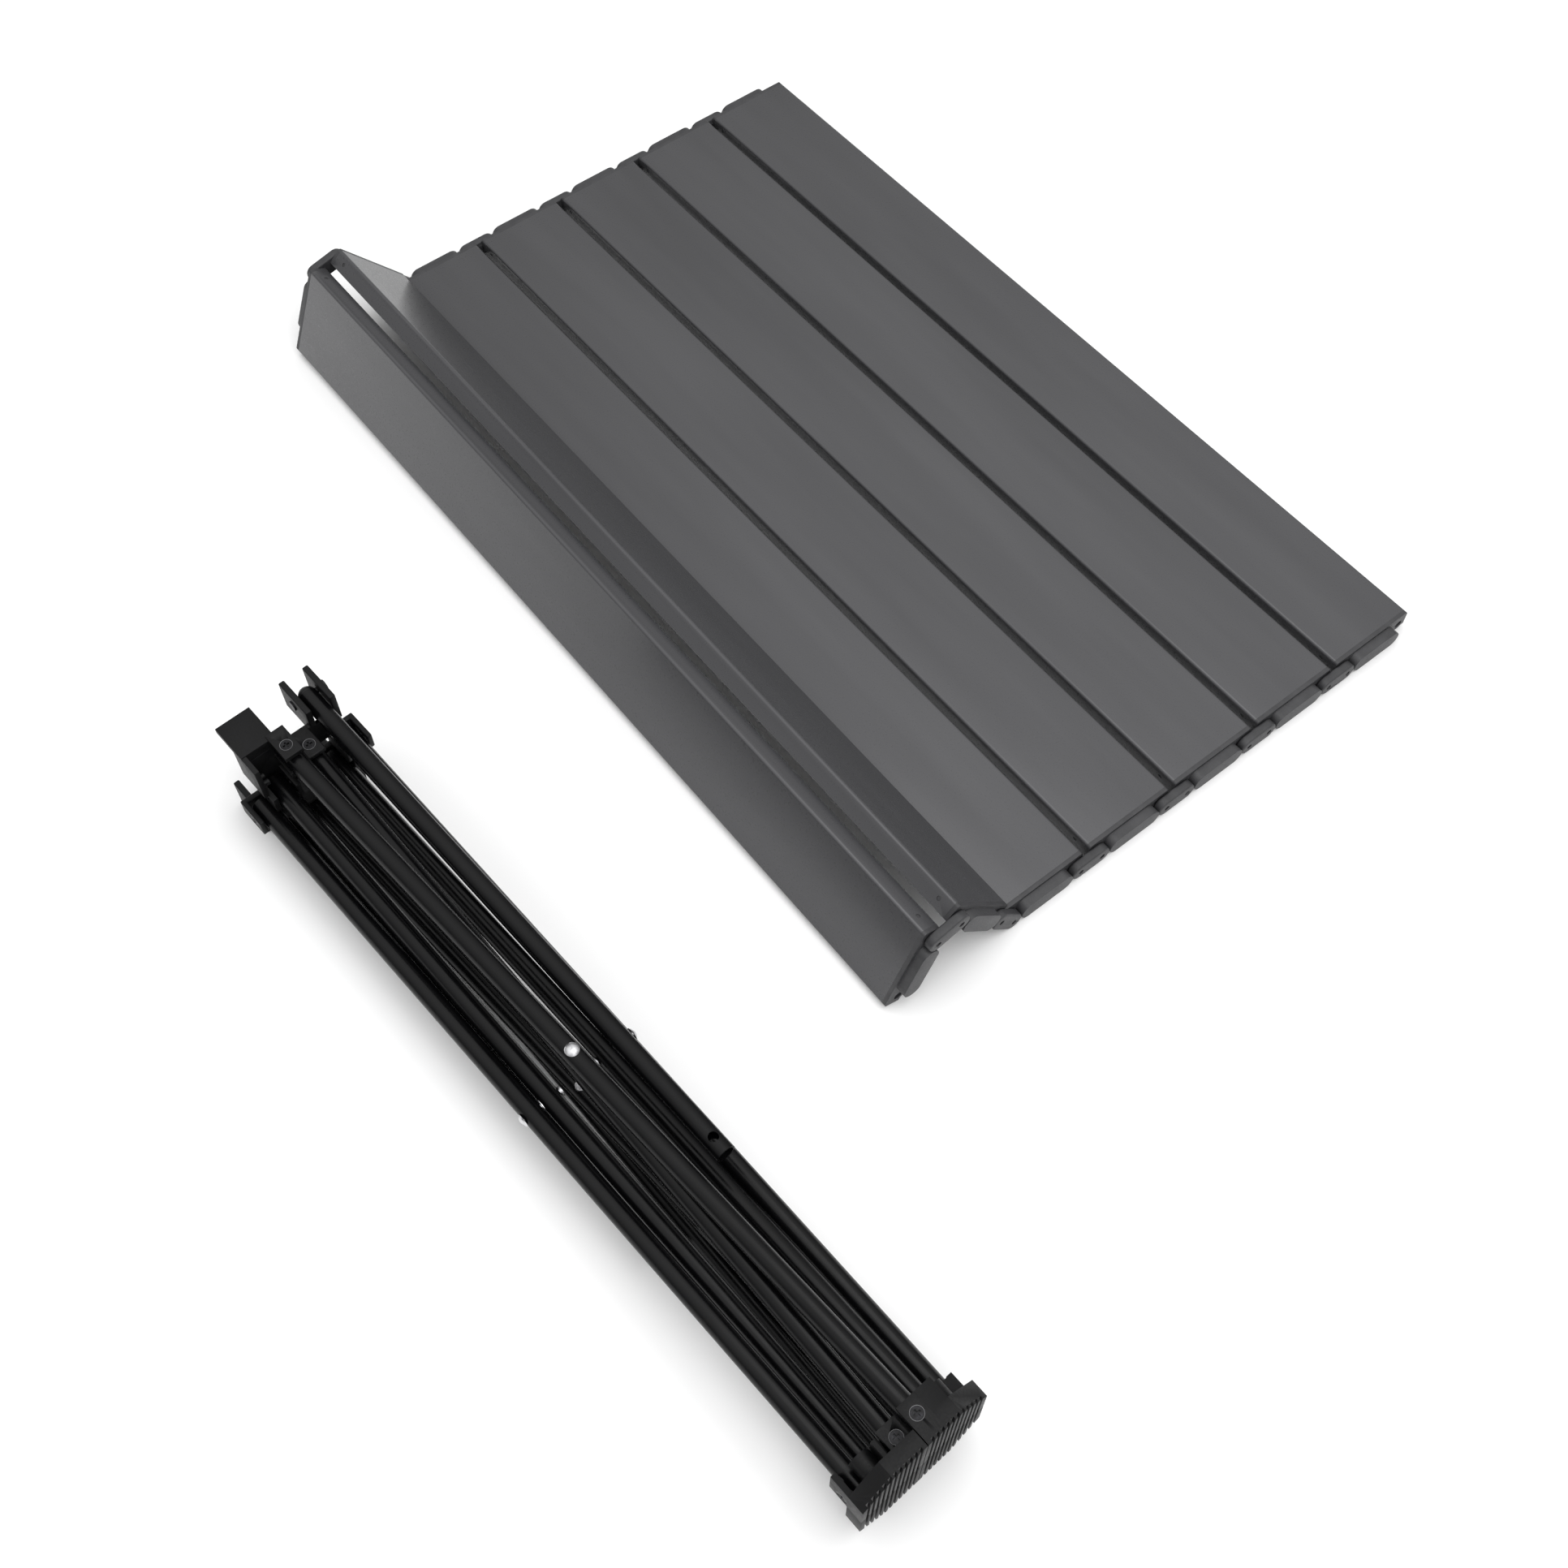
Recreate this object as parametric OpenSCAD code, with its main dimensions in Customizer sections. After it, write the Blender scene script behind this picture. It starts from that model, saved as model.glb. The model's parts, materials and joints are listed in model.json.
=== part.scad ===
// Roll top camp table: a top of seven hinged slats, lying on the floor with its
// last two slats raised like a tent, and beside it the folded crossed-tube frame.
// Units: millimetres. +X along the slats, +Y across them, +Z up.

/* [Top] */
// length of the top along the slats, over the end caps
slat_len = 700; // [500:1:900]
// width of one slat
slat_w = 71; // [50:0.5:95]
// gap between two neighbouring slats
slat_gap = 5.5; // [3:0.1:10]
// depth of the slat's side flanges
flange_h = 13; // [10:0.5:20]
// wall of the aluminium channel
slat_wall = 1.5; // [1:0.1:3]
// outer corner radius of the channel
slat_r = 2.2; // [1.6:0.1:4]
// distance from a slat's edge to its hinge pin
pin_inset = 6.5; // [5:0.1:9]
// depth of the hinge pins below the top face
pin_depth = 9.25; // [8:0.05:14]
// radius of the link ends and of the boss ends
link_r = 6.75; // [5:0.05:8]
// how far the links stand out from the end caps
link_t = 6.7; // [4:0.1:10]
// gap between a cap's boss and the links beside it
boss_gap = 0.5; // [0.3:0.1:3]
// diameter of the hinge pins
pin_d = 6; // [4:0.1:8]

/* [Tent] */
// angle of link 5-6 and slat 6 above the floor
tent_up = 49.53; // [0:0.01:60]
// turn of the link over the ridge
ridge_turn_a = 62.5; // [0:0.1:80]
// turn of the last slat after the ridge link
ridge_turn_b = 53.9; // [0:0.1:80]

/* [Frame] */
// length of a leg tube between its two pivots
tube_len = 550; // [400:1:700]
// outer diameter of the leg tubes
tube_d = 13; // [10:0.5:20]
// wall of the leg tubes
tube_wall = 1.2; // [0.8:0.1:2]
// distance of the outer tubes from the middle of the bundle
outer_off = 34; // [30:0.5:50]
// distance of a folded pivot from the middle of its side
pivot_off = 6.8; // [6.8:0.1:12]
// diameter of the support rails
rail_d = 12.6; // [10:0.1:16]
// length of a rail between its pivot and its hole
rail_len = 395; // [300:1:500]
// diameter of the hole in the rail's free end
rail_hole_d = 6.4; // [5:0.1:8]
// side of the square plate on a catch bracket
plate_w = 25; // [15:0.5:30]
// diameter of the screws that the tubes turn on
screw_d = 4; // [3:0.1:6]
// number of grooves across one foot
sole_grooves = 11; // [4:1:12]

/* [Placing] */
// turn of the folded frame on the floor
frame_turn = 3.2; // [-45:0.1:45]
// place of the folded frame's upper end along the slats
frame_x = 361.2; // [0:0.1:700]
// place of the folded frame across the slats
frame_y = -364.9; // [-600:0.1:-280]

/* [Hidden] */
clear = 0.3;                        // gap between parts that turn
fit = 0.05;                         // radial clearance of the pins
top_h = pin_depth + link_r;         // height of the top face above the floor
slat_pitch = slat_w + slat_gap;     // distance from one slat to the next
link_d = 2 * pin_inset + slat_gap;  // distance between a link's pins
cap_plate = 3;                      // thickness of a cap's end plate
plug_len = 16;                      // how far the cap reaches into the slat
cap_land = 12;                      // full-depth part of the plug at each edge
boss_run = slat_w - 2 * (pin_inset + boss_gap) - 4 * link_r; // straight part of the boss
eye_r = 5.2;                        // radius of the cap's round eyes
nub_d = 2.8;                        // snap nubs on the caps
nub_x = 10;                         // their distance from the slat's end
nub_z = 6.5;                        // their depth below the top face
rib_n = 3;                          // ribs inside a slat
rib_h = 1.5;

fold_half = asin(2 * pivot_off / tube_len);
drop = tube_len * cos(fold_half);   // folded distance between pivot levels
tube_gap = 0.6;                     // gap between two crossed tubes
inner_off = outer_off - tube_d - tube_gap;
arm_t = 3.5;                        // thickness of the bracket arms
arm_w = 13;                         // width of the bracket arms
half = tube_d / 2 + clear + arm_t;  // middle of a tube to the arm's outer face
side_off = outer_off + half;        // outer faces of brackets and feet
tube_end = 7.5;                     // tube length beyond its pivot
arm_up = 14;                        // arm beyond the pivot, outer end
arm_down = 9;                       // arm on the tube's side
seam = 0.3;                         // half gap between neighbouring corners
head_d = 7.6;                       // screw heads
head_t = 1.6;
seat_d = 8.2;                       // their recesses
seat_t = 1.8;
rail_z = 26;                        // rail's distance on the hinge side
rail_y = 35;                        // rail's distance on the outer side
rail_up = 27.5;                     // rail pivot above the tube pivots
rail_tail = 10.5;                   // hole to the cut end
tongue_t = 4.3;
tongue_gap = rail_d + 1;
peg_d = 5.6;
plate_t = 4.3;                      // square plate of a catch bracket
plate_in = side_off - 1.2 - plate_t; // its inner face
plate_up = rail_up + 12.2;          // its free edge
peg_y = rail_z;                     // the other rail lands where it hung
peg_z = plate_in - rail_tail - 0.8;
seat_up = rail_up - rail_d / 2 - 0.5; // seat of the rail on a catch bracket
sole_up = 10.4;                     // sole plate, from the pivot
sole_t = 5.1;
block_d = 13;                       // rounded block between a foot's arms
block_y = side_off - block_d / 2 - 10.8;
block_z = inner_off + 4.1;
groove_w = 1.9;
groove_t = 2;
shift = [-460.7117, 53.3312, 0];

// ---------- the top ----------

// middle of the gap between slats 4 and 5 is y = 0; slat k's place when flat
function slat_y(k) = (4.5 - k) * slat_pitch;

// a slat's own frame: x along it, y from its +Y edge (0) to its other edge,
// z = 0 at its top face, everything below is negative
module flat_slat(k) {
  translate([0, slat_y(k) + slat_w / 2, top_h]) mirror([0, 1, 0]) children();
}

// turns the children about a pin line of slat k's frame
module about_pin(y, a) {
  translate([0, y, -pin_depth]) rotate([a, 0, 0]) translate([0, -y, pin_depth])
    children();
}

// placing of link 5-6, slat 6, link 6-7 and slat 7 in the tent
module in_link5() { about_pin(slat_w - pin_inset, tent_up) children(); }
module in_slat6() { in_link5() translate([0, slat_pitch, 0]) children(); }
module in_link6() {
  in_slat6() about_pin(slat_w - pin_inset, -ridge_turn_a) children();
}
module in_slat7() {
  in_link6() translate([0, slat_pitch, 0]) about_pin(pin_inset, -ridge_turn_b)
    children();
}

module placed(k) {
  if (k < 6) flat_slat(k) children();
  if (k == 6) flat_slat(5) in_slat6() children();
  if (k == 7) flat_slat(5) in_slat7() children();
}

module placed_link(k) {
  if (k < 5) flat_slat(k) children();
  if (k == 5) flat_slat(5) in_link5() children();
  if (k == 6) flat_slat(5) in_link6() children();
}

// cross-section of the channel, drawn with y right and z up
module channel_outline(grow) {
  w = slat_w - 2 * grow;
  r = slat_r - grow;
  translate([grow, 0]) {
    translate([r, -grow - r]) circle(r, $fn = 32);
    translate([w - r, -grow - r]) circle(r, $fn = 32);
    translate([r, -grow - r]) square([w - 2 * r, r]);
    translate([0, -flange_h]) square([w, flange_h - grow - r]);
  }
}

module along_x(x0, x1) {
  translate([x0, 0, 0]) rotate([90, 0, 90]) linear_extrude(x1 - x0) children();
}

module slat() {
  color("#6a6a6c") difference() {
    along_x(cap_plate, slat_len - cap_plate) channel_outline(0);
    along_x(cap_plate - 1, slat_len - cap_plate + 1) difference() {
      union() {
        channel_outline(slat_wall);
        translate([slat_wall, -flange_h - 1])
          square([slat_w - 2 * slat_wall, 2]);
      }
      for (i = [1 : rib_n])
        translate([i * slat_w / (rib_n + 1) - 0.6, -slat_wall - rib_h])
          square([1.2, rib_h + 1]);
    }
    for (x = [cap_plate + nub_x, slat_len - cap_plate - nub_x])
      translate([x, -1, -nub_z]) rotate([-90, 0, 0])
        cylinder(d = nub_d + 0.2, h = slat_w + 2, $fn = 24);
  }
}

// stadium across the slat, its middle line at the pin depth
module stadium(y0, y1, r) {
  translate([y0, -pin_depth]) circle(r, $fn = 48);
  translate([y1, -pin_depth]) circle(r, $fn = 48);
  translate([y0, -pin_depth - r]) square([y1 - y0, 2 * r]);
}

// cap of the x = 0 end; the other one is its mirror image
module end_cap() {
  mid = slat_w / 2;
  ins = slat_wall + 0.15;
  color("#5c5c5e") difference() {
    union() {
      along_x(0, cap_plate) channel_outline(0);
      along_x(0, cap_plate) for (y = [pin_inset, slat_w - pin_inset])
        translate([y, -pin_depth]) circle(eye_r, $fn = 48);
      along_x(-link_t, 0.5) stadium(mid - boss_run / 2, mid + boss_run / 2, link_r);
      along_x(cap_plate - 0.5, cap_plate + plug_len) difference() {
        intersection() {
          channel_outline(ins);
          translate([0, -flange_h + 0.5]) square([slat_w, flange_h]);
        }
        translate([cap_land, -flange_h])
          square([slat_w - 2 * cap_land, flange_h - ins - 5]);
        for (i = [1 : rib_n])
          translate([i * slat_w / (rib_n + 1) - 1, -slat_wall - rib_h - 0.2])
            square([2, rib_h + 1]);
      }
      for (s = [0, 1]) translate([cap_plate + nub_x, s * slat_w, -nub_z])
        rotate([s * 180 - 90, 0, 0]) translate([0, 0, 0.4])
          cylinder(d = nub_d, h = slat_wall + 0.6, $fn = 24);
    }
    for (y = [pin_inset, slat_w - pin_inset])
      translate([-1, y, -pin_depth]) rotate([0, 90, 0])
        cylinder(d = pin_d + 2 * fit, h = plug_len, $fn = 48);
  }
}

module end_caps() {
  end_cap();
  translate([slat_len, 0, 0]) mirror([1, 0, 0]) end_cap();
}

// link of the x = 0 end with its two pins
module hinge_link() {
  y0 = slat_w - pin_inset;
  color("#565658") {
    difference() {
      along_x(-link_t, -clear) stadium(y0, y0 + link_d, link_r);
      for (y = [y0, y0 + link_d]) translate([-link_t - 1, y, -pin_depth])
        rotate([0, 90, 0]) cylinder(d = pin_d - 2, h = 2.2, $fn = 32);
    }
    for (y = [y0, y0 + link_d]) translate([-clear - 1, y, -pin_depth])
      rotate([0, 90, 0]) cylinder(d = pin_d, h = plug_len - 2, $fn = 48);
  }
}

module hinge_links() {
  hinge_link();
  translate([slat_len, 0, 0]) mirror([1, 0, 0]) hinge_link();
}

// ---------- the frame ----------
// frame's own axes: x from the brackets to the feet, z to the upper side

module on_floor() {
  translate([frame_x, frame_y, side_off]) rotate([0, 0, frame_turn]) children();
}

// sides and corners follow each other in quarter turns; 2 is the upper side
module quarter(k) {
  on_floor() rotate([-90 * (k - 2), 0, 0]) children();
}

module box(x, y, z) {
  translate([x[0], y[0], z[0]])
    cube([x[1] - x[0], y[1] - y[0], z[1] - z[0]]);
}

module across_z(x, y, z, d) {
  translate([x, y, z[0]]) cylinder(d = d, h = z[1] - z[0], $fn = 48);
}

// moves a piece that is drawn for the upper side to the corner's other side,
// where s runs along +Z and the outer face looks to -Y
module other_side() { rotate([90, 0, 0]) children(); }

// U-shaped arm around a tube end, pivot at x = 0, y = y, open on the tube's side
module arm(y, off, dir) {
  z = [off - half, off + half];
  yy = [y - arm_w / 2, y + arm_w / 2];
  difference() {
    union() {
      box([min(-dir * arm_up, dir * arm_down), max(-dir * arm_up, dir * arm_down)],
        yy, [z[1] - arm_t, z[1]]);
      box([min(-dir * arm_up, dir * arm_down), max(-dir * arm_up, dir * arm_down)],
        yy, [z[0], z[0] + arm_t]);
      box([min(-dir * arm_up, -dir * (arm_up - arm_t)),
        max(-dir * arm_up, -dir * (arm_up - arm_t))], yy, z);
    }
    across_z(0, y, [z[0] - 1, z[1] + 1], screw_d + 0.1);
    across_z(0, y, [z[1] - seat_t, z[1] + 1], seat_d);
  }
}

module pivot_screw(y, off) {
  z = [off - half, off + half];
  difference() {
    union() {
      across_z(0, y, [z[0], z[1] - seat_t + 0.1], screw_d);
      across_z(0, y, [z[1] - seat_t, z[1] - seat_t + head_t], head_d);
    }
    box([-0.6, 0.6], [y - 2.2, y + 2.2], [z[1] - 1.2, z[1] + 1]);
    box([-2.2, 2.2], [y - 0.6, y + 0.6], [z[1] - 1.2, z[1] + 1]);
  }
}

// base that joins the two arms of a bracket, square to the tubes
module bracket_base(y0) {
  box([-arm_up, -arm_up + arm_t], [y0, -seam], [outer_off - half, rail_y]);
  box([-arm_up, -arm_up + arm_t], [-inner_off - half, -seam - 8],
    [seam, outer_off]);
}

// bracket with the two tongues that a rail turns between
module hinge_bracket() {
  yy = [-side_off, -rail_y + rail_d / 2 + 9];
  color("#3c3c3e") difference() {
    union() {
      arm(-pivot_off, outer_off, 1);
      other_side() arm(pivot_off, inner_off, 1);
      bracket_base(-rail_y + rail_d / 2 + 0.4);
      for (z = [rail_z - tongue_gap / 2 - tongue_t, rail_z + tongue_gap / 2])
        box([-rail_up - 14, -arm_up + arm_t], yy, [z, z + tongue_t]);
    }
    across_z(-rail_up, -rail_y, [0, side_off + 1], screw_d + 0.1);
    // the rail's path while it hangs beside the base
    box([-arm_up - 3, 0], [-side_off - 1, -rail_y + rail_d / 2 + 0.4],
      [rail_z - tongue_gap / 2, rail_z + tongue_gap / 2]);
  }
}

// bracket with the square plate and the peg that a rail's hole drops on
module catch_bracket() {
  color("#3c3c3e") difference() {
    union() {
      arm(-pivot_off, outer_off, 1);
      other_side() arm(pivot_off, inner_off, 1);
      bracket_base(-plate_w - 8);
      // square plate, level with the outer arm's face less a small step
      box([-plate_up, -arm_up + arm_t], [-plate_w - 8.3, -8.3],
        [plate_in, plate_in + plate_t]);
      box([-seat_up, -arm_up + arm_t], [-plate_w - 8.3, -seam - arm_w],
        [side_off - 9, side_off - 1.2]);
      // rail seat with its side wall
      box([-seat_up, -seat_up + arm_t], [-plate_w - 8.3, -14], [14, side_off - 2]);
      box([-seat_up, 4], [-plate_w - 8.3, -plate_w - 4.8], [14, side_off - 2]);
      box([-seat_up, -arm_up + 1], [-17.5, -14], [14, side_off - 2]);
      across_x(-peg_y, peg_z, [-rail_up - rail_d / 2 - 2, -seat_up + 1], peg_d);
      // two stop lugs under the seat
      for (x = [-4, 1.5]) translate([x, -plate_w - 5, inner_off + 3.6]) rotate([-90, 0, 0])
        cylinder(d = 4.4, h = 4, $fn = 32);
    }
    across_z(0, -pivot_off, [-1, side_off + 1], screw_d + 0.1);
  }
}

module across_x(y, z, x, d) {
  translate([x[0], y, z]) rotate([0, 90, 0])
    cylinder(d = d, h = x[1] - x[0], $fn = 48);
}

// foot: arms for the two tube ends on a ribbed sole
module foot(turned) {
  e = side_off;
  outline = [[-seam, seam], [-seam, e - 0.1], [-e + 20, e - 0.1], [-e, e - 20],
    [-e, seam]];
  color("#38383a") translate([drop, 0, 0]) difference() {
    union() {
      arm(-pivot_off, inner_off, -1);
      other_side() arm(pivot_off, outer_off, -1);
      // sole
      translate([sole_up, 0, 0]) rotate([90, 0, 90])
        linear_extrude(sole_t) polygon(outline);
      // rim along the outer edges
      translate([sole_up - 6, 0, 0]) rotate([90, 0, 90]) linear_extrude(7)
        difference() {
          polygon(outline);
          polygon([[1, -1], [1, e - 3.5], [-e + 21.2, e - 3.5],
            [-e + 3.4, e - 21.3], [-e + 3.4, -1]]);
        }
      // rounded block and walls between the arms
      box([-6, sole_up + 1], [-19.8, -17.3], [inner_off - half, e - 6]);
      across_x(-block_y, block_z, [-7, sole_up + 1], block_d);
      box([-9, sole_up + 1], [-e + 0.05, -e + arm_t], [seam + arm_w - 1, e - 20.1]);
      side_bumps(5);
    }
    for (i = [0 : sole_grooves - 1]) {
      c = seam + 2 + (i + 0.5) * (e - 5) / sole_grooves;
      translate([sole_up + sole_t - groove_t, 0, 0])
        if (turned) box([0, 5], [-e - 1, 1], [c - groove_w / 2, c + groove_w / 2]);
        else box([0, 5], [-c - groove_w / 2, -c + groove_w / 2], [-1, e + 1]);
    }
    // room for the neighbour's tube while the frame opens
    box([-20, 3], [-seam, 5], [0, e + 1]);
  }
}

// two small round bosses in the foot's outer wall
module side_bumps(d) {
  for (x = [-4.5, 4.5]) translate([x, -side_off + arm_t + 1, 18.5])
    rotate([90, 0, 0]) cylinder(d = d, h = arm_t + 0.9, $fn = 32);
}

// tube drawn from its upper pivot at y0 to its lower pivot at -y0
module leg_tube(y0, off) {
  a = y0 > 0 ? -fold_half : fold_half;
  color("#262628") translate([0, y0, off]) rotate([0, 0, a]) difference() {
    across_x(0, 0, [-tube_end, tube_len + tube_end], tube_d);
    across_x(0, 0, [-tube_end - 1, tube_len + tube_end + 1],
      tube_d - 2 * tube_wall);
    for (x = [0, tube_len]) across_z(x, 0, [-tube_d, tube_d], screw_d + 0.16);
    across_z(tube_len / 2, 0, [-tube_d, tube_d], screw_d + 0.16);
  }
}

module centre_rivet() {
  x = drop / 2;
  t0 = inner_off - tube_d / 2;
  t1 = outer_off + tube_d / 2;
  m = (inner_off + outer_off) / 2;
  color("#c9cacb") {
    across_z(x, 0, [t0 - 0.5, t1 + 0.5], screw_d);
    across_z(x, 0, [m - 0.2, m + 0.2], 9);
    difference() {
      translate([x, 0, t1 - 3.9]) sphere(r = 6, $fn = 64);
      box([x - 9, x + 9], [-9, 9], [t1 - 12, t1 + 0.1]);
    }
    across_z(x, 0, [t0 - 1.3, t0 - 0.15], 7);
  }
}

// rail hinge side: drawn for the corner at -Y, +Z, hanging down to the feet
module rail() {
  color("#2a2a2c") difference() {
    across_x(-rail_y, rail_z, [-rail_up, -rail_up + rail_len + rail_tail], rail_d);
    across_x(-rail_y, rail_z, [-rail_up - 1, -rail_up + rail_len + rail_tail + 1],
      rail_d - 2 * tube_wall);
    across_z(-rail_up, -rail_y, [0, side_off], screw_d + 2);
    translate([-rail_up + rail_len, -rail_y - rail_d, rail_z])
      rotate([-90, 0, 0]) cylinder(d = rail_hole_d, h = 2 * rail_d, $fn = 48);
  }
}

module rail_cap() {
  r = rail_d / 2;
  ri = r - tube_wall - 0.05;
  color("#343436") difference() {
    union() {
      translate([-rail_up, -rail_y, rail_z]) intersection() {
        sphere(r = r, $fn = 64);
        box([-r - 1, 0], [-r - 1, r + 1], [-r - 1, r + 1]);
      }
      across_x(-rail_y, rail_z, [-rail_up - 0.5, -rail_up + 14], 2 * ri);
    }
    across_z(-rail_up, -rail_y, [0, side_off], screw_d + 0.1);
  }
}

module rail_pin() {
  z0 = rail_z - tongue_gap / 2 - tongue_t;
  z1 = rail_z + tongue_gap / 2 + tongue_t;
  color("#4a4a4c") {
    across_z(-rail_up, -rail_y, [z0 - 0.5, z1 + 0.5], screw_d);
    across_z(-rail_up, -rail_y, [z0 - 1.2, z0], 7);
    across_z(-rail_up, -rail_y, [z1, z1 + 1.9], 8);
  }
}

module bracket_screws() {
  color("#1c1c1e") {
    pivot_screw(-pivot_off, outer_off);
    other_side() pivot_screw(pivot_off, inner_off);
  }
}

module foot_screws() {
  color("#1c1c1e") translate([drop, 0, 0]) {
    pivot_screw(-pivot_off, inner_off);
    other_side() pivot_screw(pivot_off, outer_off);
  }
}

translate(shift) {
  placed(1) slat();  // slat_1
  placed(2) slat();  // slat_2
  placed(3) slat();  // slat_3
  placed(4) slat();  // slat_4
  placed(5) slat();  // slat_5
  placed(6) slat();  // slat_6
  placed(7) slat();  // slat_7
  placed(1) end_caps();  // end_caps_1
  placed(2) end_caps();  // end_caps_2
  placed(3) end_caps();  // end_caps_3
  placed(4) end_caps();  // end_caps_4
  placed(5) end_caps();  // end_caps_5
  placed(6) end_caps();  // end_caps_6
  placed(7) end_caps();  // end_caps_7
  placed_link(1) hinge_links();  // hinge_links_1_2
  placed_link(2) hinge_links();  // hinge_links_2_3
  placed_link(3) hinge_links();  // hinge_links_3_4
  placed_link(4) hinge_links();  // hinge_links_4_5
  placed_link(5) hinge_links();  // hinge_links_5_6
  placed_link(6) hinge_links();  // hinge_links_6_7
  quarter(0) foot(false);  // foot_0
  quarter(1) foot(true);  // foot_1
  quarter(2) foot(false);  // foot_2
  quarter(3) foot(true);  // foot_3
  quarter(0) catch_bracket();  // corner_bracket_0
  quarter(1) hinge_bracket();  // corner_bracket_1
  quarter(2) catch_bracket();  // corner_bracket_2
  quarter(3) hinge_bracket();  // corner_bracket_3
  quarter(0) leg_tube(-pivot_off, outer_off);  // leg_tube_a0
  quarter(1) leg_tube(-pivot_off, outer_off);  // leg_tube_a1
  quarter(2) leg_tube(-pivot_off, outer_off);  // leg_tube_a2
  quarter(3) leg_tube(-pivot_off, outer_off);  // leg_tube_a3
  quarter(0) leg_tube(pivot_off, inner_off);  // leg_tube_b0
  quarter(1) leg_tube(pivot_off, inner_off);  // leg_tube_b1
  quarter(2) leg_tube(pivot_off, inner_off);  // leg_tube_b2
  quarter(3) leg_tube(pivot_off, inner_off);  // leg_tube_b3
  quarter(0) centre_rivet();  // centre_rivet_0
  quarter(1) centre_rivet();  // centre_rivet_1
  quarter(2) centre_rivet();  // centre_rivet_2
  quarter(3) centre_rivet();  // centre_rivet_3
  quarter(0) foot_screws();  // foot_screws_0
  quarter(1) foot_screws();  // foot_screws_1
  quarter(2) foot_screws();  // foot_screws_2
  quarter(3) foot_screws();  // foot_screws_3
  quarter(0) bracket_screws();  // bracket_screws_0
  quarter(1) bracket_screws();  // bracket_screws_1
  quarter(2) bracket_screws();  // bracket_screws_2
  quarter(3) bracket_screws();  // bracket_screws_3
  quarter(1) rail();  // rail_1
  quarter(3) rail();  // rail_3
  quarter(1) rail_cap();  // rail_cap_1
  quarter(3) rail_cap();  // rail_cap_3
  quarter(1) rail_pin();  // rail_pin_1
  quarter(3) rail_pin();  // rail_pin_3
}
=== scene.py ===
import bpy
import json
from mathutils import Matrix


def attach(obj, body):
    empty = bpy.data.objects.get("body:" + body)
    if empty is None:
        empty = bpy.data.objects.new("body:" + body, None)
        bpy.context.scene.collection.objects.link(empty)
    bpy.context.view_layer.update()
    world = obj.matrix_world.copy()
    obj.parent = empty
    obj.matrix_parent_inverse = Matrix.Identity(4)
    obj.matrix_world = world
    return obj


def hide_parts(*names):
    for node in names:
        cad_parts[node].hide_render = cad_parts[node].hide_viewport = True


bl_info = {
    "name": "Roll Top Camp Table",
    "version": (1, 0, 0),
    "blender": (4, 5, 0),
    "location": "View3D > Sidebar > Camp Table",
    "description": "Dresses a roll top camp table and its folded frame",
    "category": "Object",
}

import json
import math

import bmesh
import bpy
from bpy.props import FloatProperty, FloatVectorProperty, PointerProperty
from mathutils import Matrix, Vector

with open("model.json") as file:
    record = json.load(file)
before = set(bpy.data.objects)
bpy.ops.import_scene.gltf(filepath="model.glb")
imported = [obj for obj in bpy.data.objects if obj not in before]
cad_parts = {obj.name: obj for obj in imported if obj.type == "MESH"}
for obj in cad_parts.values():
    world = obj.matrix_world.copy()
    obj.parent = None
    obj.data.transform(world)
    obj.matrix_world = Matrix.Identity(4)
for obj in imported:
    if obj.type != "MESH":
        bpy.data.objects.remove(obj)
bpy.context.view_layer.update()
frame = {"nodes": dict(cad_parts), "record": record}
NODES = frame["nodes"]
BODY_OF = {n: b for b, ns in frame["record"]["behaviour"]["bodies"].items() for n in ns}

# lengths are in metres and angles in degrees, unless the name says otherwise
MERGE_DISTANCE = 2e-6       # doubles in a CAD mesh lie closer than this
FLAT_ANGLE = 0.6            # faces that meet flatter than this become one
BEVEL_ANGLE = 38            # edges sharper than this are eased
SMOOTH_ANGLE = 34           # faces that meet flatter than this shade as one
SHORTEST_EASED = 0.5        # edges shorter than this many bevel widths stay

RIM_DEPTH = 1e-5            # points this close to a screw head's top are its rim
# the lips are thin pale rings that paint the highlight on each screw recess's edge
LIP_LIFT = 0.00001          # a lip's middle above the head's top
LIP_GAP = 0.0002            # a lip's middle outside the head
LIP_THICK = 0.00018         # radius of a lip's section
LIP_SECTION = 8             # corners of a lip's section
LIP_STEPS = 40              # steps of a lip round the head

NOISE_LOW, NOISE_HIGH = 0.3, 0.7    # nearly all of a noise lies between these

SCREW_COLOUR = "#18181a"
PIN_COLOUR = "#1c1c1f"
# pale rings round the screw heads: painted highlight on each recess's edge
HIGHLIGHT_RING_COLOUR = "#6e6e70"
FLOOR_COLOUR = "#fbfbfb"

FLOOR_SIZE = 6.0
LIGHT_FROM, LIGHT_TO = 0.2, 1.0     # height on the sky, from side to top light
LAMP_SIZE = 1.0
KEY_PLACE, KEY_AIM = (0.5, 0.02, 1.3), (0.15, -0.05, 0)
FILL_PLACE, FILL_AIM = (1.6, -0.4, 1.0), (0, -0.1, 0)

CAMERA_PLACE = (0.58469, -0.46817, 1.08990)
CAMERA_TURN = 51.585        # to the left of the table's depth
CAMERA_DIP = 59.044         # below level
CAMERA_LENS_MM, CAMERA_SENSOR_MM = 43.95, 36.0
CAMERA_REACH = 50.0


# ---------------------------------------------------------------- colours

def channels(code):
    """The three sRGB values of a hex colour, 0 to 255."""
    return [int(code[i:i + 2], 16) for i in (1, 3, 5)]


def hex_code(values):
    """Three sRGB values, 0 to 255, as a hex colour."""
    return "#" + "".join("%02x" % max(0, min(255, round(v))) for v in values)


def hex_rgba(code):
    """sRGB hex to linear RGBA."""
    out = []
    for value in channels(code):
        c = value / 255
        out.append(c / 12.92 if c <= 0.04045 else ((c + 0.055) / 1.055) ** 2.4)
    return (*out, 1.0)


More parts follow.
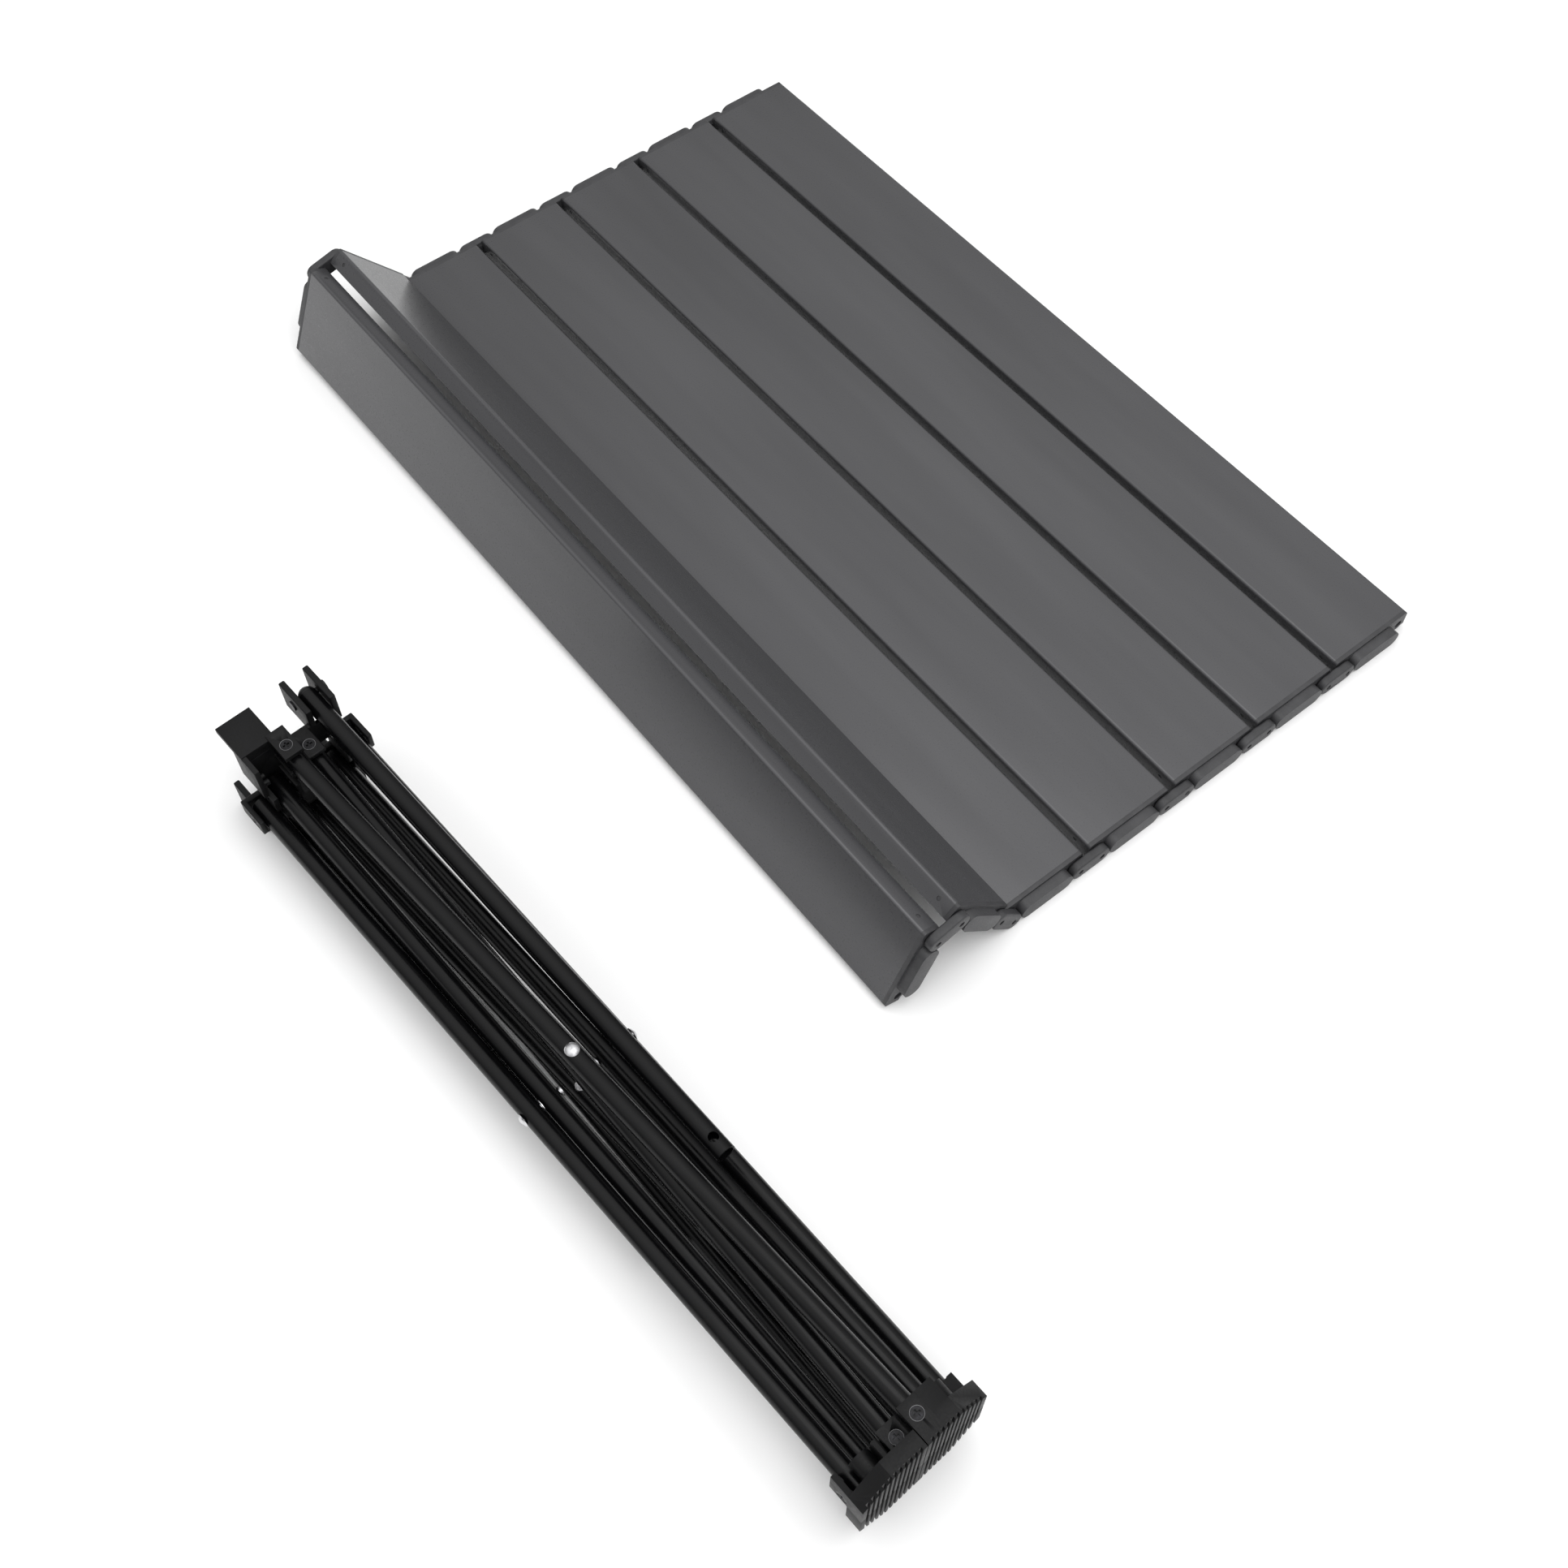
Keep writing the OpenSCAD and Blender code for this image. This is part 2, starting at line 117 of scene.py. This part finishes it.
def shade(code, factor):
    """A hex colour made darker or lighter."""
    return hex_code(v * factor for v in channels(code))


def for_panel(code):
    """A hex colour as the panel keeps it, in sRGB values from 0 to 1."""
    return tuple(v / 255 for v in channels(code))


def from_panel(colour):
    """A colour of the panel as hex."""
    return hex_code(c * 255 for c in colour)


# ---------------------------------------------------------------- materials

def node(tree, kind, links=(), **settings):
    """Adds one node. links are pairs of an input and the output that feeds
    it. The settings are its properties or, where no property has the name,
    its inputs."""
    n = tree.nodes.new(kind)
    for key, value in settings.items():
        if hasattr(n, key):
            setattr(n, key, value)
        else:
            n.inputs[key.replace("_", " ")].default_value = value
    for socket, source in links:
        tree.links.new(source, n.inputs[socket])
    return n


def blank_material(name):
    """A new material with no nodes yet, and its node tree."""
    m = bpy.data.materials.new(name)
    m.use_nodes = True
    m.node_tree.nodes.clear()
    return m, m.node_tree


def speckled(tree, colour, dark, light, size_mm, stretch=(1, 1, 1)):
    """Colour that wanders between two shades, in patches of a real size."""
    co = node(tree, "ShaderNodeTexCoord")
    patches = node(tree, "ShaderNodeMapping", [("Vector", co.outputs["Object"])],
                   Scale=[1000 / size_mm * s for s in stretch])
    noise = node(tree, "ShaderNodeTexNoise", [("Vector", patches.outputs[0])],
                 Scale=1.0, Detail=3.0, Roughness=0.55)
    ramp = node(tree, "ShaderNodeValToRGB", [("Fac", noise.outputs["Fac"])])
    low, high = ramp.color_ramp.elements
    low.position, low.color = NOISE_LOW, hex_rgba(shade(colour, dark))
    high.position, high.color = NOISE_HIGH, hex_rgba(shade(colour, light))
    ramp.color_ramp.elements.new(0.5).color = hex_rgba(colour)
    return co, ramp


def grain(tree, co, size_mm, strength, height_mm):
    """Fine uneven skin of a real grain size and height."""
    grit = node(tree, "ShaderNodeMapping", [("Vector", co.outputs["Object"])],
                Scale=[1000 / size_mm] * 3)
    noise = node(tree, "ShaderNodeTexNoise", [("Vector", grit.outputs[0])],
                 Scale=1.0, Detail=2.0, Roughness=0.6)
    bump = node(tree, "ShaderNodeBump", [("Height", noise.outputs["Fac"])],
                Strength=strength, Distance=height_mm / 1000)
    return noise, bump


def surface(tree, colour, noise, bump, smooth, rough, **sockets):
    """Principled surface, whose roughness follows the grain from smooth to
    rough."""
    spread = node(tree, "ShaderNodeMapRange", [("Value", noise.outputs["Fac"])],
                  From_Min=NOISE_LOW, From_Max=NOISE_HIGH, To_Min=smooth, To_Max=rough)
    skin = node(tree, "ShaderNodeBsdfPrincipled",
                [("Base Color", colour.outputs[0]), ("Normal", bump.outputs[0]),
                 ("Roughness", spread.outputs[0])], **sockets)
    node(tree, "ShaderNodeOutputMaterial", [("Surface", skin.outputs[0])])


def powder_coated_aluminium(colour):
    """Extruded aluminium with a fine satin powder coat: soft broad gloss,
    faint die lines along the slat, grain drawn at 1.6 mm because the real
    0.3 mm grit is finer than the picture shows."""
    m, t = blank_material("powder_coated_aluminium")
    co, ramp = speckled(t, colour, 0.95, 1.05, size_mm=38, stretch=(0.12, 1, 1))
    noise, bump = grain(t, co, size_mm=1.6, strength=0.10, height_mm=0.12)
    # the die lines are drawn 2.4 mm apart and run nearly the slat's length
    lines = node(t, "ShaderNodeMapping", [("Vector", co.outputs["Object"])],
                 Scale=(1.5, 420, 420))
    streak = node(t, "ShaderNodeTexNoise", [("Vector", lines.outputs[0])],
                  Scale=1.0, Detail=1.0)
    drawn = node(t, "ShaderNodeBump",
                 [("Height", streak.outputs["Fac"]), ("Normal", bump.outputs[0])],
                 Strength=0.06, Distance=0.0001)
    surface(t, ramp, noise, drawn, 0.26, 0.34, Metallic=0.25, IOR=1.5)
    return m


def glass_filled_nylon(name, colour, smooth, rough, gloss=0.5):
    """Moulded glass-filled nylon: dull, slightly mottled skin with a fine
    spark-eroded texture, drawn at 1.2 mm so that it shows."""
    m, t = blank_material(name)
    co, ramp = speckled(t, colour, 0.88, 1.12, size_mm=9)
    noise, bump = grain(t, co, size_mm=1.2, strength=0.16, height_mm=0.15)
    surface(t, ramp, noise, bump, smooth, rough, IOR=1.5, Specular_IOR_Level=gloss)
    return m


def enamelled_steel(name, colour, smooth):
    """Black baked enamel on steel: deep, with a clear narrow highlight and
    slight orange peel, 5 mm across."""
    m, t = blank_material(name)
    co, ramp = speckled(t, colour, 0.8, 1.6, size_mm=22, stretch=(0.3, 1, 1))
    noise, bump = grain(t, co, size_mm=5, strength=0.05, height_mm=0.1)
    surface(t, ramp, noise, bump, smooth, smooth + 0.1, IOR=1.5, Specular_IOR_Level=0.2)
    return m


def bright_rivet_steel(colour):
    """Pressed bright steel rivet head: glossy, with fine marks of the
    press."""
    m, t = blank_material("bright_rivet_steel")
    co, ramp = speckled(t, colour, 0.8, 1.05, size_mm=3)
    noise, bump = grain(t, co, size_mm=1.5, strength=0.15, height_mm=0.08)
    surface(t, ramp, noise, bump, 0.24, 0.34, Metallic=1.0)
    return m


def black_oxide_steel(colour):
    """Black oxide screw steel: dark metal with a dull sheen."""
    m, t = blank_material("black_oxide_steel")
    co, ramp = speckled(t, colour, 0.7, 1.5, size_mm=2.5)
    noise, bump = grain(t, co, size_mm=1.2, strength=0.12, height_mm=0.08)
    surface(t, ramp, noise, bump, 0.34, 0.45, Metallic=0.7)
    return m


# ---------------------------------------------------------------- pieces

def named(prefix):
    """CAD nodes whose names start so."""
    return [n for n in NODES if n.startswith(prefix)]


def own_look(names, material):
    """Gives CAD nodes, which stay as they are, a material."""
    for n in names:
        slots = NODES[n].data.materials
        slots.clear()
        slots.append(material)


def smooth_object(name, mesh_name, bm, material):
    """Turns a finished bmesh into a smoothly shaded object of the scene."""
    me = bpy.data.meshes.new(mesh_name)
    bm.to_mesh(me)
    bm.free()
    for p in me.polygons:
        p.use_smooth = True
    me.materials.append(material)
    o = bpy.data.objects.new(name, me)
    bpy.context.scene.collection.objects.link(o)
    return o


def merged_copy(name):
    """The mesh of a CAD node with its loose triangles joined."""
    bm = bmesh.new()
    bm.from_mesh(NODES[name].data)
    bmesh.ops.remove_doubles(bm, verts=bm.verts, dist=MERGE_DISTANCE)
    return bm


def eased_copy(name, width, segments, material):
    """Copy of a CAD piece with its sharp edges eased, shown in its place."""
    bm = merged_copy(name)
    bmesh.ops.dissolve_limit(bm, angle_limit=math.radians(FLAT_ANGLE), verts=bm.verts,
                             edges=bm.edges)
    bmesh.ops.recalc_face_normals(bm, faces=bm.faces)
    sharp = [e for e in bm.edges if e.is_manifold
             and e.calc_face_angle(0) > math.radians(BEVEL_ANGLE)
             and e.calc_length() > width * SHORTEST_EASED]
    bmesh.ops.bevel(bm, geom=sharp, offset=width, offset_type="OFFSET",
                    segments=segments, profile=0.5, affect="EDGES",
                    clamp_overlap=True, material=-1)
    o = smooth_object(name + "_moulded", name + "_eased", bm, material)
    o.data.set_sharp_from_angle(angle=math.radians(SMOOTH_ANGLE))
    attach(o, BODY_OF[name])
    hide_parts(name)


def islands(name):
    """Points of each separate solid in a CAD node, in the mesh's own order,
    so that every run makes the same lips."""
    bm = merged_copy(name)
    seen = set()
    found = []
    for start in bm.verts:
        if start in seen:
            continue
        seen.add(start)
        queue = [start]
        group = []
        while queue:
            v = queue.pop()
            group.append(v.co.copy())
            for e in v.link_edges:
                other = e.other_vert(v)
                if other not in seen:
                    seen.add(other)
                    queue.append(other)
        found.append(group)
    bm.free()
    return found


def head_rim(points):
    """Centre, outward axis and radius of a screw's head from its points.
    The head holds most of them, so their mean lies towards it."""
    mean = sum(points, Vector()) / len(points)
    low = [min(p[i] for p in points) for i in range(3)]
    high = [max(p[i] for p in points) for i in range(3)]
    middle = Vector([(a + b) / 2 for a, b in zip(low, high)])
    axis = (mean - middle).normalized()
    far = max(p.dot(axis) for p in points)
    rim = [p for p in points if p.dot(axis) > far - RIM_DEPTH]
    top = sum(rim, Vector()) / len(rim)
    return top, axis, max((p - top).length for p in rim)


def recess_highlights(name, material):
    """Thin pale lips in the gap between each screw's head and its seat, in one
    group of screws: a painted highlight on the edge of each recess."""
    bm = bmesh.new()
    for points in islands(name):
        top, axis, radius = head_rim(points)
        turn = axis.to_track_quat("Z", "Y").to_matrix().to_4x4()
        place = (Matrix.Translation(top) @ turn
                 @ Matrix.Translation((radius + LIP_GAP, 0, LIP_LIFT))
                 @ Matrix.Rotation(math.radians(90), 4, "X"))
        section = bmesh.ops.create_circle(bm, segments=LIP_SECTION, radius=LIP_THICK,
                                          matrix=place)["verts"]
        edges = list(dict.fromkeys(e for v in section for e in v.link_edges))
        bmesh.ops.spin(bm, geom=section + edges, cent=top, axis=axis,
                       angle=math.radians(360), steps=LIP_STEPS, use_merge=True)
    bmesh.ops.recalc_face_normals(bm, faces=bm.faces)
    highlight_rings = smooth_object(name + "_lips", name + "_lips", bm, material)
    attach(highlight_rings, BODY_OF[name])


# ---------------------------------------------------------------- properties

class CampTableFinish(bpy.types.PropertyGroup):
    slat_colour: FloatVectorProperty(
        name="Slats", description="Coat of the slats",
        subtype="COLOR_GAMMA", size=3, min=0, max=1, default=for_panel("#474749"))
    cap_colour: FloatVectorProperty(
        name="End caps", description="Plastic of the caps and links",
        subtype="COLOR_GAMMA", size=3, min=0, max=1, default=for_panel("#343436"))
    fitting_colour: FloatVectorProperty(
        name="Fittings", description="Plastic of feet and brackets",
        subtype="COLOR_GAMMA", size=3, min=0, max=1, default=for_panel("#0b0b0c"))
    tube_colour: FloatVectorProperty(
        name="Tubes", description="Enamel of the tubes",
        subtype="COLOR_GAMMA", size=3, min=0, max=1, default=for_panel("#060607"))
    rivet_colour: FloatVectorProperty(
        name="Rivets", description="Steel of the rivets",
        subtype="COLOR_GAMMA", size=3, min=0, max=1, default=for_panel("#cdcdcf"))


class CampTableSizes(bpy.types.PropertyGroup):
    slat_edge: FloatProperty(
        name="Slat edge", description="Easing of the slats' extruded edges",
        default=0.0006, min=0, max=0.0007, unit="LENGTH")
    fitting_edge: FloatProperty(
        name="Fitting edge", description="Easing of the feet's and brackets' edges",
        default=0.0013, min=0, max=0.003, unit="LENGTH")
    cap_edge: FloatProperty(
        name="Cap edge", description="Easing of the end caps' and links' edges",
        default=0.0013, min=0, max=0.003, unit="LENGTH")
    key_power: FloatProperty(
        name="Key light", description="Power of the overhead lamp",
        default=4.5, min=0, max=500, unit="POWER")
    fill_power: FloatProperty(
        name="Fill light", description="Power of the lamp at the right",
        default=2.0, min=0, max=500, unit="POWER")
    top_light: FloatProperty(
        name="Top light", description="Soft light from overhead",
        default=1.6, min=0, max=10)
    side_light: FloatProperty(
        name="Side light", description="Soft light from the sides",
        default=0.35, min=0, max=10)


# ---------------------------------------------------------------- operators

class CAMPTABLE_OT_slats(bpy.types.Operator):
    """Coat the seven slats"""
    bl_idname = "camptable.slats"
    bl_label = "Slats"

    def execute(self, context):
        finish, sizes = context.scene.camp_table_finish, context.scene.camp_table_sizes
        coat = powder_coated_aluminium(from_panel(finish.slat_colour))
        for n in named("slat_"):
            eased_copy(n, sizes.slat_edge, 2, coat)
        return {"FINISHED"}


class CAMPTABLE_OT_caps(bpy.types.Operator):
    """Make the moulded end caps and hinge links"""
    bl_idname = "camptable.caps"
    bl_label = "End caps and links"

    def execute(self, context):
        finish, sizes = context.scene.camp_table_finish, context.scene.camp_table_sizes
        colour = from_panel(finish.cap_colour)
        cap = glass_filled_nylon("moulded_cap_nylon", colour, 0.46, 0.6)
        link = glass_filled_nylon("moulded_link_nylon", shade(colour, 0.94), 0.46, 0.6)
        for n in named("end_caps_"):
            eased_copy(n, sizes.cap_edge, 3, cap)
        for n in named("hinge_links_"):
            eased_copy(n, sizes.cap_edge, 3, link)
        return {"FINISHED"}


class CAMPTABLE_OT_tubes(bpy.types.Operator):
    """Enamel the leg tubes and the support rails"""
    bl_idname = "camptable.tubes"
    bl_label = "Tubes and rails"

    def execute(self, context):
        colour = from_panel(context.scene.camp_table_finish.tube_colour)
        own_look(named("leg_tube_") + ["rail_1", "rail_3"],
                 enamelled_steel("black_enamelled_tube", colour, 0.2))
        own_look(named("rail_cap_"),
                 glass_filled_nylon("moulded_plug_nylon", shade(colour, 1.3), 0.4, 0.5,
                                    gloss=0.3))
        return {"FINISHED"}


class CAMPTABLE_OT_fittings(bpy.types.Operator):
    """Make the moulded feet and corner brackets"""
    bl_idname = "camptable.fittings"
    bl_label = "Feet and brackets"

    def execute(self, context):
        finish, sizes = context.scene.camp_table_finish, context.scene.camp_table_sizes
        colour = from_panel(finish.fitting_colour)
        foot = glass_filled_nylon("moulded_foot_nylon", colour, 0.42, 0.56, gloss=0.2)
        bracket = glass_filled_nylon("moulded_bracket_nylon", shade(colour, 1.06),
                                     0.42, 0.56, gloss=0.2)
        for corner in range(4):
            eased_copy("foot_%d" % corner, sizes.fitting_edge, 2, foot)
            eased_copy("corner_bracket_%d" % corner, sizes.fitting_edge, 2, bracket)
        return {"FINISHED"}


class CAMPTABLE_OT_hardware(bpy.types.Operator):
    """Finish the screws, rivets and pins"""
    bl_idname = "camptable.hardware"
    bl_label = "Screws and rivets"

    def execute(self, context):
        rivet = from_panel(context.scene.camp_table_finish.rivet_colour)
        screws = named("foot_screws_") + named("bracket_screws_")
        own_look(named("centre_rivet_"), bright_rivet_steel(rivet))
        own_look(screws, black_oxide_steel(SCREW_COLOUR))
        own_look(named("rail_pin_"), enamelled_steel("black_rivet_enamel", PIN_COLOUR, 0.34))
        # pale rings that paint the highlight on each screw recess's edge
        highlight_nylon = glass_filled_nylon("painted_highlight_nylon", HIGHLIGHT_RING_COLOUR, 0.35, 0.45)
        for n in screws:
            recess_highlights(n, highlight_nylon)
        return {"FINISHED"}


# ---------------------------------------------------------------- stage

def pale_floor():
    m, t = blank_material("pale_floor")
    dull = node(t, "ShaderNodeBsdfDiffuse", Color=hex_rgba(FLOOR_COLOUR))
    node(t, "ShaderNodeOutputMaterial", [("Surface", dull.outputs[0])])
    bm = bmesh.new()
    bmesh.ops.create_grid(bm, x_segments=1, y_segments=1, size=FLOOR_SIZE)
    smooth_object("floor", "floor", bm, m)


def studio_sky(scene, side_light, top_light):
    """A wide soft light that is strongest overhead. The camera sees it as
    plain white."""
    world = bpy.data.worlds.new("studio")
    world.use_nodes = True
    scene.world = world
    t = world.node_tree
    t.nodes.clear()
    path = node(t, "ShaderNodeLightPath")
    co = node(t, "ShaderNodeTexCoord")
    way = node(t, "ShaderNodeSeparateXYZ", [(0, co.outputs["Generated"])])
    fall = node(t, "ShaderNodeMapRange", [("Value", way.outputs["Z"])],
                From_Min=LIGHT_FROM, From_Max=LIGHT_TO, To_Min=side_light, To_Max=top_light)
    soft = node(t, "ShaderNodeBackground", [("Strength", fall.outputs[0])],
                Color=(1, 1, 1, 1))
    white = node(t, "ShaderNodeBackground", Color=(1, 1, 1, 1), Strength=1.0)
    mix = node(t, "ShaderNodeMixShader", [(0, path.outputs["Is Camera Ray"]),
                                          (1, soft.outputs[0]), (2, white.outputs[0])])
    node(t, "ShaderNodeOutputWorld", [("Surface", mix.outputs[0])])


def turned_towards(o, direction):
    """Turns a lamp or camera so that it looks along a direction."""
    o.rotation_euler = direction.to_track_quat("-Z", "Y").to_euler()


def soft_lamp(scene, name, place, aim, power):
    lamp = bpy.data.lights.new(name, "AREA")
    lamp.shape = "SQUARE"
    lamp.size = LAMP_SIZE
    lamp.energy = power
    o = bpy.data.objects.new(name, lamp)
    o.location = place
    turned_towards(o, Vector(aim) - Vector(place))
    scene.collection.objects.link(o)


def photo_camera(scene):
    """The camera solved from the photograph's edges."""
    cam = bpy.data.cameras.new("photo_camera")
    cam.sensor_fit = "HORIZONTAL"
    cam.sensor_width = CAMERA_SENSOR_MM
    cam.lens = CAMERA_LENS_MM
    cam.clip_end = CAMERA_REACH
    o = bpy.data.objects.new("photo_camera", cam)
    o.location = CAMERA_PLACE
    turn, dip = math.radians(CAMERA_TURN), math.radians(CAMERA_DIP)
    turned_towards(o, Vector((-math.sin(turn) * math.cos(dip),
                              math.cos(turn) * math.cos(dip), -math.sin(dip))))
    scene.collection.objects.link(o)
    scene.camera = o


class CAMPTABLE_OT_stage(bpy.types.Operator):
    """Set the floor, the lamps and the camera"""
    bl_idname = "camptable.stage"
    bl_label = "Stage"

    def execute(self, context):
        scene = context.scene
        sizes = scene.camp_table_sizes
        pale_floor()
        studio_sky(scene, sizes.side_light, sizes.top_light)
        soft_lamp(scene, "key_lamp", KEY_PLACE, KEY_AIM, sizes.key_power)
        soft_lamp(scene, "fill_lamp", FILL_PLACE, FILL_AIM, sizes.fill_power)
        photo_camera(scene)
        scene.view_settings.view_transform = "Standard"
        return {"FINISHED"}


# ---------------------------------------------------------------- add-on

class CAMPTABLE_PT_panel(bpy.types.Panel):
    """Sizes, colours and steps of the camp table"""
    bl_label = "Camp Table"
    bl_space_type = "VIEW_3D"
    bl_region_type = "UI"
    bl_category = "Camp Table"

    def draw(self, context):
        col = self.layout.column()
        for group in (context.scene.camp_table_finish, context.scene.camp_table_sizes):
            for key in group.__annotations__:
                col.prop(group, key)
        for op in OPERATORS:
            col.operator(op.bl_idname)


GROUPS = (CampTableFinish, CampTableSizes)
OPERATORS = (CAMPTABLE_OT_slats, CAMPTABLE_OT_caps, CAMPTABLE_OT_tubes,
             CAMPTABLE_OT_fittings, CAMPTABLE_OT_hardware, CAMPTABLE_OT_stage)
CLASSES = GROUPS + OPERATORS + (CAMPTABLE_PT_panel,)


def register():
    for cls in CLASSES:
        bpy.utils.register_class(cls)
    bpy.types.Scene.camp_table_finish = PointerProperty(type=CampTableFinish)
    bpy.types.Scene.camp_table_sizes = PointerProperty(type=CampTableSizes)


def unregister():
    del bpy.types.Scene.camp_table_sizes
    del bpy.types.Scene.camp_table_finish
    for cls in reversed(CLASSES):
        bpy.utils.unregister_class(cls)


def main():
    register()
    for step in ("slats", "caps", "tubes", "fittings", "hardware", "stage"):
        getattr(bpy.ops.camptable, step)()


if __name__ == "__main__":
    main()
